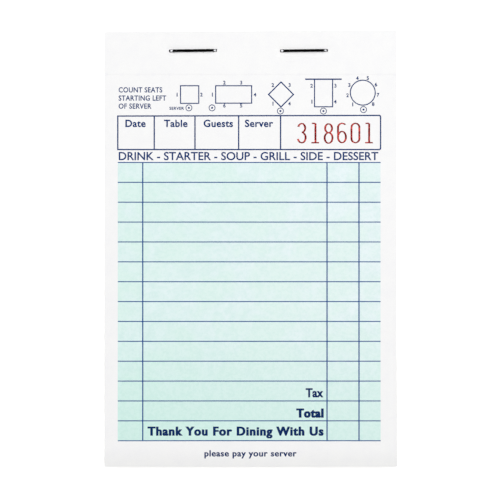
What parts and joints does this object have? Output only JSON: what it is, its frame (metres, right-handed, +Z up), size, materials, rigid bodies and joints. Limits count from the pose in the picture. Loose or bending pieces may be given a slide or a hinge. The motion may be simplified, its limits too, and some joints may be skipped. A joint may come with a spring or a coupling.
{
  "type": "restaurant bill pad",
  "caption": "Pad of perforated restaurant bills on a chipboard back, bound by two wire staples through the stub, with tear-off sheets.",
  "frame": {"origin": "on the surface the pad lies on, under the middle of the pad", "axes": "+Z up, through the sheets; +Y towards the stapled stub; +X to the right of the top sheet as it is read"},
  "size_m": [0.0888, 0.1324, 0.0062],
  "materials": {
    "check_paper": "matte",
    "stub_paper": "matte",
    "chipboard": "matte",
    "staple_wire": "satin"
  },
  "bodies": {
    "pad": {"backing_board": "chipboard", "staple_left": "staple_wire", "staple_right": "staple_wire", "stubs_01_10": "stub_paper", "stubs_11_20": "stub_paper", "stubs_21_30": "stub_paper", "stubs_31_40": "stub_paper", "stubs_41_50": "stub_paper"},
    "fold_strip": {"check_01_fold_strip": "stub_paper"},
    "check_01": {"check_01": "check_paper"},
    "check_02": {"check_02": "check_paper"},
    "check_03": {"check_03": "check_paper"},
    "check_04": {"check_04": "check_paper"},
    "check_05": {"check_05": "check_paper"},
    "check_06": {"check_06": "check_paper"},
    "check_07": {"check_07": "check_paper"},
    "check_08": {"check_08": "check_paper"},
    "check_09": {"check_09": "check_paper"},
    "check_10": {"check_10": "check_paper"},
    "check_11": {"check_11": "check_paper"},
    "check_12": {"check_12": "check_paper"},
    "check_13": {"check_13": "check_paper"},
    "check_14": {"check_14": "check_paper"},
    "check_15": {"check_15": "check_paper"},
    "check_16": {"check_16": "check_paper"},
    "check_17": {"check_17": "check_paper"},
    "check_18": {"check_18": "check_paper"},
    "check_19": {"check_19": "check_paper"},
    "check_20": {"check_20": "check_paper"},
    "check_21": {"check_21": "check_paper"},
    "check_22": {"check_22": "check_paper"},
    "check_23": {"check_23": "check_paper"},
    "check_24": {"check_24": "check_paper"},
    "check_25": {"check_25": "check_paper"},
    "check_26": {"check_26": "check_paper"},
    "check_27": {"check_27": "check_paper"},
    "check_28": {"check_28": "check_paper"},
    "check_29": {"check_29": "check_paper"},
    "check_30": {"check_30": "check_paper"},
    "check_31": {"check_31": "check_paper"},
    "check_32": {"check_32": "check_paper"},
    "check_33": {"check_33": "check_paper"},
    "check_34": {"check_34": "check_paper"},
    "check_35": {"check_35": "check_paper"},
    "check_36": {"check_36": "check_paper"},
    "check_37": {"check_37": "check_paper"},
    "check_38": {"check_38": "check_paper"},
    "check_39": {"check_39": "check_paper"},
    "check_40": {"check_40": "check_paper"},
    "check_41": {"check_41": "check_paper"},
    "check_42": {"check_42": "check_paper"},
    "check_43": {"check_43": "check_paper"},
    "check_44": {"check_44": "check_paper"},
    "check_45": {"check_45": "check_paper"},
    "check_46": {"check_46": "check_paper"},
    "check_47": {"check_47": "check_paper"},
    "check_48": {"check_48": "check_paper"},
    "check_49": {"check_49": "check_paper"},
    "check_50": {"check_50": "check_paper"}
  },
  "joints": [
    {"name": "check_01_turn", "type": "hinge", "parent": "pad", "child": "fold_strip", "pos_m": [0, 0.05708, 0.0058], "axis": [-1, 0, 0], "range_deg": [0, 160]},
    {"name": "check_01_tear_off", "type": "slide", "parent": "fold_strip", "child": "check_01", "axis": [0, -1, 0], "range_m": [0, 0.12]},
    {"name": "check_02_tear_off", "type": "slide", "parent": "pad", "child": "check_02", "axis": [0, -1, 0], "range_m": [0, 0.12]},
    {"name": "check_03_tear_off", "type": "slide", "parent": "pad", "child": "check_03", "axis": [0, -1, 0], "range_m": [0, 0.12]},
    {"name": "check_04_tear_off", "type": "slide", "parent": "pad", "child": "check_04", "axis": [0, -1, 0], "range_m": [0, 0.12]},
    {"name": "check_05_tear_off", "type": "slide", "parent": "pad", "child": "check_05", "axis": [0, -1, 0], "range_m": [0, 0.12]},
    {"name": "check_06_tear_off", "type": "slide", "parent": "pad", "child": "check_06", "axis": [0, -1, 0], "range_m": [0, 0.12]},
    {"name": "check_07_tear_off", "type": "slide", "parent": "pad", "child": "check_07", "axis": [0, -1, 0], "range_m": [0, 0.12]},
    {"name": "check_08_tear_off", "type": "slide", "parent": "pad", "child": "check_08", "axis": [0, -1, 0], "range_m": [0, 0.12]},
    {"name": "check_09_tear_off", "type": "slide", "parent": "pad", "child": "check_09", "axis": [0, -1, 0], "range_m": [0, 0.12]},
    {"name": "check_10_tear_off", "type": "slide", "parent": "pad", "child": "check_10", "axis": [0, -1, 0], "range_m": [0, 0.12]},
    {"name": "check_11_tear_off", "type": "slide", "parent": "pad", "child": "check_11", "axis": [0, -1, 0], "range_m": [0, 0.12]},
    {"name": "check_12_tear_off", "type": "slide", "parent": "pad", "child": "check_12", "axis": [0, -1, 0], "range_m": [0, 0.12]},
    {"name": "check_13_tear_off", "type": "slide", "parent": "pad", "child": "check_13", "axis": [0, -1, 0], "range_m": [0, 0.12]},
    {"name": "check_14_tear_off", "type": "slide", "parent": "pad", "child": "check_14", "axis": [0, -1, 0], "range_m": [0, 0.12]},
    {"name": "check_15_tear_off", "type": "slide", "parent": "pad", "child": "check_15", "axis": [0, -1, 0], "range_m": [0, 0.12]},
    {"name": "check_16_tear_off", "type": "slide", "parent": "pad", "child": "check_16", "axis": [0, -1, 0], "range_m": [0, 0.12]},
    {"name": "check_17_tear_off", "type": "slide", "parent": "pad", "child": "check_17", "axis": [0, -1, 0], "range_m": [0, 0.12]},
    {"name": "check_18_tear_off", "type": "slide", "parent": "pad", "child": "check_18", "axis": [0, -1, 0], "range_m": [0, 0.12]},
    {"name": "check_19_tear_off", "type": "slide", "parent": "pad", "child": "check_19", "axis": [0, -1, 0], "range_m": [0, 0.12]},
    {"name": "check_20_tear_off", "type": "slide", "parent": "pad", "child": "check_20", "axis": [0, -1, 0], "range_m": [0, 0.12]},
    {"name": "check_21_tear_off", "type": "slide", "parent": "pad", "child": "check_21", "axis": [0, -1, 0], "range_m": [0, 0.12]},
    {"name": "check_22_tear_off", "type": "slide", "parent": "pad", "child": "check_22", "axis": [0, -1, 0], "range_m": [0, 0.12]},
    {"name": "check_23_tear_off", "type": "slide", "parent": "pad", "child": "check_23", "axis": [0, -1, 0], "range_m": [0, 0.12]},
    {"name": "check_24_tear_off", "type": "slide", "parent": "pad", "child": "check_24", "axis": [0, -1, 0], "range_m": [0, 0.12]},
    {"name": "check_25_tear_off", "type": "slide", "parent": "pad", "child": "check_25", "axis": [0, -1, 0], "range_m": [0, 0.12]},
    {"name": "check_26_tear_off", "type": "slide", "parent": "pad", "child": "check_26", "axis": [0, -1, 0], "range_m": [0, 0.12]},
    {"name": "check_27_tear_off", "type": "slide", "parent": "pad", "child": "check_27", "axis": [0, -1, 0], "range_m": [0, 0.12]},
    {"name": "check_28_tear_off", "type": "slide", "parent": "pad", "child": "check_28", "axis": [0, -1, 0], "range_m": [0, 0.12]},
    {"name": "check_29_tear_off", "type": "slide", "parent": "pad", "child": "check_29", "axis": [0, -1, 0], "range_m": [0, 0.12]},
    {"name": "check_30_tear_off", "type": "slide", "parent": "pad", "child": "check_30", "axis": [0, -1, 0], "range_m": [0, 0.12]},
    {"name": "check_31_tear_off", "type": "slide", "parent": "pad", "child": "check_31", "axis": [0, -1, 0], "range_m": [0, 0.12]},
    {"name": "check_32_tear_off", "type": "slide", "parent": "pad", "child": "check_32", "axis": [0, -1, 0], "range_m": [0, 0.12]},
    {"name": "check_33_tear_off", "type": "slide", "parent": "pad", "child": "check_33", "axis": [0, -1, 0], "range_m": [0, 0.12]},
    {"name": "check_34_tear_off", "type": "slide", "parent": "pad", "child": "check_34", "axis": [0, -1, 0], "range_m": [0, 0.12]},
    {"name": "check_35_tear_off", "type": "slide", "parent": "pad", "child": "check_35", "axis": [0, -1, 0], "range_m": [0, 0.12]},
    {"name": "check_36_tear_off", "type": "slide", "parent": "pad", "child": "check_36", "axis": [0, -1, 0], "range_m": [0, 0.12]},
    {"name": "check_37_tear_off", "type": "slide", "parent": "pad", "child": "check_37", "axis": [0, -1, 0], "range_m": [0, 0.12]},
    {"name": "check_38_tear_off", "type": "slide", "parent": "pad", "child": "check_38", "axis": [0, -1, 0], "range_m": [0, 0.12]},
    {"name": "check_39_tear_off", "type": "slide", "parent": "pad", "child": "check_39", "axis": [0, -1, 0], "range_m": [0, 0.12]},
    {"name": "check_40_tear_off", "type": "slide", "parent": "pad", "child": "check_40", "axis": [0, -1, 0], "range_m": [0, 0.12]},
    {"name": "check_41_tear_off", "type": "slide", "parent": "pad", "child": "check_41", "axis": [0, -1, 0], "range_m": [0, 0.12]},
    {"name": "check_42_tear_off", "type": "slide", "parent": "pad", "child": "check_42", "axis": [0, -1, 0], "range_m": [0, 0.12]},
    {"name": "check_43_tear_off", "type": "slide", "parent": "pad", "child": "check_43", "axis": [0, -1, 0], "range_m": [0, 0.12]},
    {"name": "check_44_tear_off", "type": "slide", "parent": "pad", "child": "check_44", "axis": [0, -1, 0], "range_m": [0, 0.12]},
    {"name": "check_45_tear_off", "type": "slide", "parent": "pad", "child": "check_45", "axis": [0, -1, 0], "range_m": [0, 0.12]},
    {"name": "check_46_tear_off", "type": "slide", "parent": "pad", "child": "check_46", "axis": [0, -1, 0], "range_m": [0, 0.12]},
    {"name": "check_47_tear_off", "type": "slide", "parent": "pad", "child": "check_47", "axis": [0, -1, 0], "range_m": [0, 0.12]},
    {"name": "check_48_tear_off", "type": "slide", "parent": "pad", "child": "check_48", "axis": [0, -1, 0], "range_m": [0, 0.12]},
    {"name": "check_49_tear_off", "type": "slide", "parent": "pad", "child": "check_49", "axis": [0, -1, 0], "range_m": [0, 0.12]},
    {"name": "check_50_tear_off", "type": "slide", "parent": "pad", "child": "check_50", "axis": [0, -1, 0], "range_m": [0, 0.12]}
  ]
}
